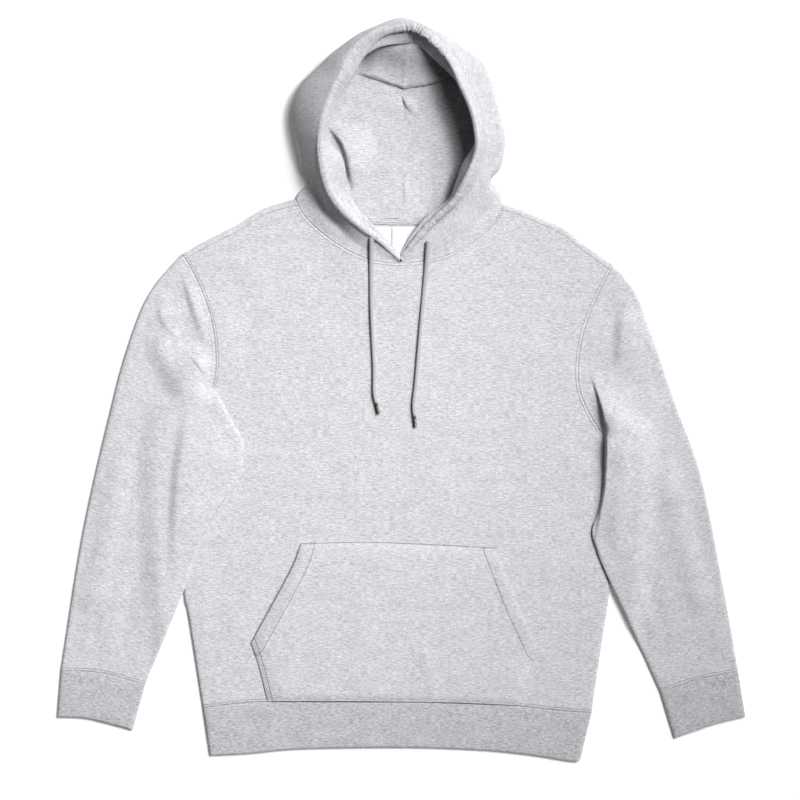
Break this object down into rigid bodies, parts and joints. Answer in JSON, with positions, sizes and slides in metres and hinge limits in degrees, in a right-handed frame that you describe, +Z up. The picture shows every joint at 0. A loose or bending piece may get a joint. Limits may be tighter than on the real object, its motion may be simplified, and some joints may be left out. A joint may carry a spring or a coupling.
{
  "type": "pullover hoodie",
  "caption": "Pullover hoodie laid flat, with open hood and drawcord, kangaroo pocket, set-in sleeves, ribbed cuffs and hem band.",
  "frame": {"origin": "centre of the object's box at table level, without the drawcords and their tips", "axes": "+Y from the hem to the hood, +Z up from the table to the garment's front, +X to the viewer's right"},
  "size_m": [0.8944, 0.9638, 0.0582],
  "materials": {
    "fleece": "brushed-back jersey, heather grey",
    "rib": "fine rib knit, heather grey",
    "label": "plain white woven",
    "cord": "round braided cord, grey",
    "tip": "dark nickel plated, satin"
  },
  "bodies": {
    "root": {"back_body": "fleece", "front_body": "fleece", "pocket": "fleece", "hem_band": "rib", "sleeve_left": "fleece", "sleeve_right": "fleece", "cuff_left": "rib", "cuff_right": "rib", "hood_left": "fleece", "hood_right": "fleece", "neck_tape": "fleece", "neck_label": "label", "neck_tag": "label", "drawcord_left": "cord", "drawcord_right": "cord", "cord_tip_left": "tip", "cord_tip_right": "tip"}
  },
  "joints": []
}
